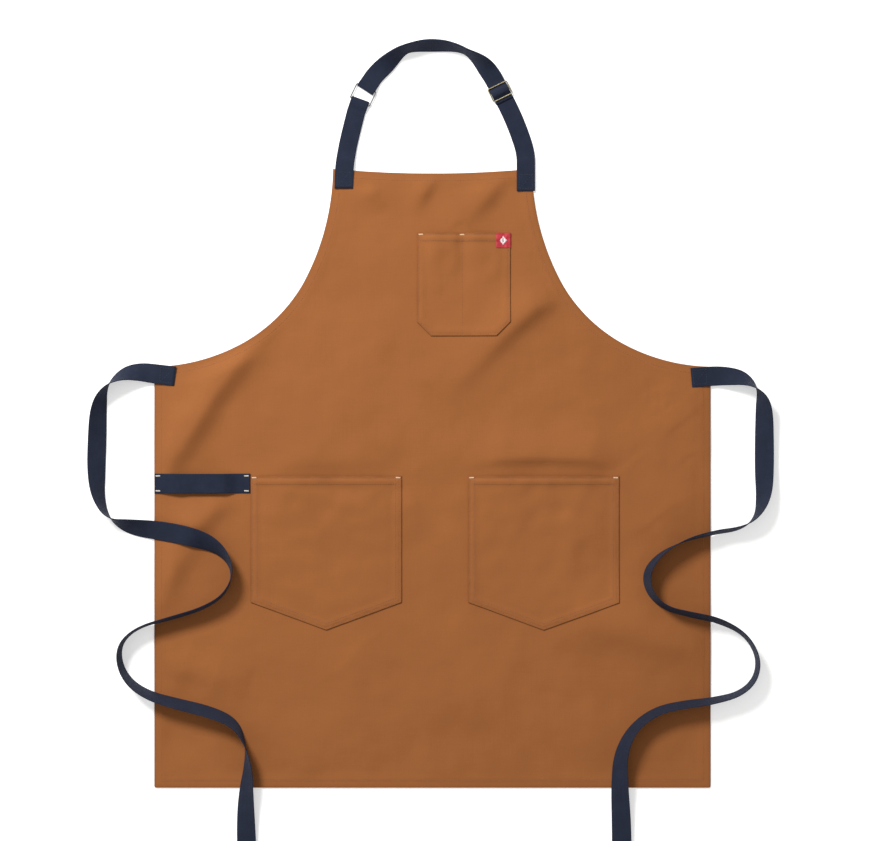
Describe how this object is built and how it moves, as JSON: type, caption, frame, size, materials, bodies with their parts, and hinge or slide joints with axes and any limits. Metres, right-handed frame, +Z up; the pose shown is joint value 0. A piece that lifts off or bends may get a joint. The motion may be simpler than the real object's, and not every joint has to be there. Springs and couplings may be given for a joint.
{
  "type": "bib apron",
  "caption": "Full bib apron laid flat: brown canvas panel with chest and waist pockets, towel loop, adjustable webbing neck strap with slider and ring, and loose webbing waist ties.",
  "frame": {"origin": "on the surface the apron lies on, at the middle of the apron's bounding box without its free waist ties", "axes": "+X towards the side with the slider as the apron lies face up, +Y from hem to neck loop, +Z up"},
  "size_m": [0.8895, 1.1303, 0.0278],
  "materials": {
    "canvas": "matt waxed cotton canvas, plain weave",
    "webbing": "navy cotton webbing, ribbed weave",
    "dark_thread": "brown sewing thread, navy at the strap ends",
    "cream_thread": "dense bartack thread",
    "red_tag": "woven satin",
    "brass_wire": "pale antique brass",
    "steel_wire": "dark gunmetal"
  },
  "bodies": {
    "root": {"apron_panel": "canvas", "hem_stitching": "dark_thread", "chest_pocket": "canvas", "chest_pocket_stitching": "dark_thread", "pocket_left": "canvas", "pocket_left_stitching": "dark_thread", "pocket_right": "canvas", "pocket_right_stitching": "dark_thread", "woven_tag": "red_tag", "pocket_bartacks": "cream_thread", "towel_loop": "webbing", "towel_loop_bartacks": "cream_thread", "neck_tab": "webbing", "neck_strap_lower": "webbing", "neck_strap_upper": "webbing", "neck_strap_return": "webbing", "strap_end_stitching": "dark_thread", "waist_tie_left": "webbing", "waist_tie_right": "webbing"},
    "slider": {"slider_frame": "brass_wire", "slider_center_bar": "brass_wire", "neck_strap_weave": "webbing", "neck_strap_end": "webbing"},
    "ring": {"strap_ring": "steel_wire", "neck_strap_fold": "webbing"}
  },
  "joints": [
    {"name": "slider_travel", "type": "hinge", "parent": "root", "child": "slider", "pos_m": [-0.21515, 0.24636, 0], "axis": [0, 0, 1], "range_deg": [-11, 0]},
    {"name": "ring_swivel", "type": "hinge", "parent": "root", "child": "ring", "pos_m": [-0.09453, 0.40626, 0.00235], "axis": [0.9018, -0.4321, 0], "range_deg": [0, 45]}
  ]
}
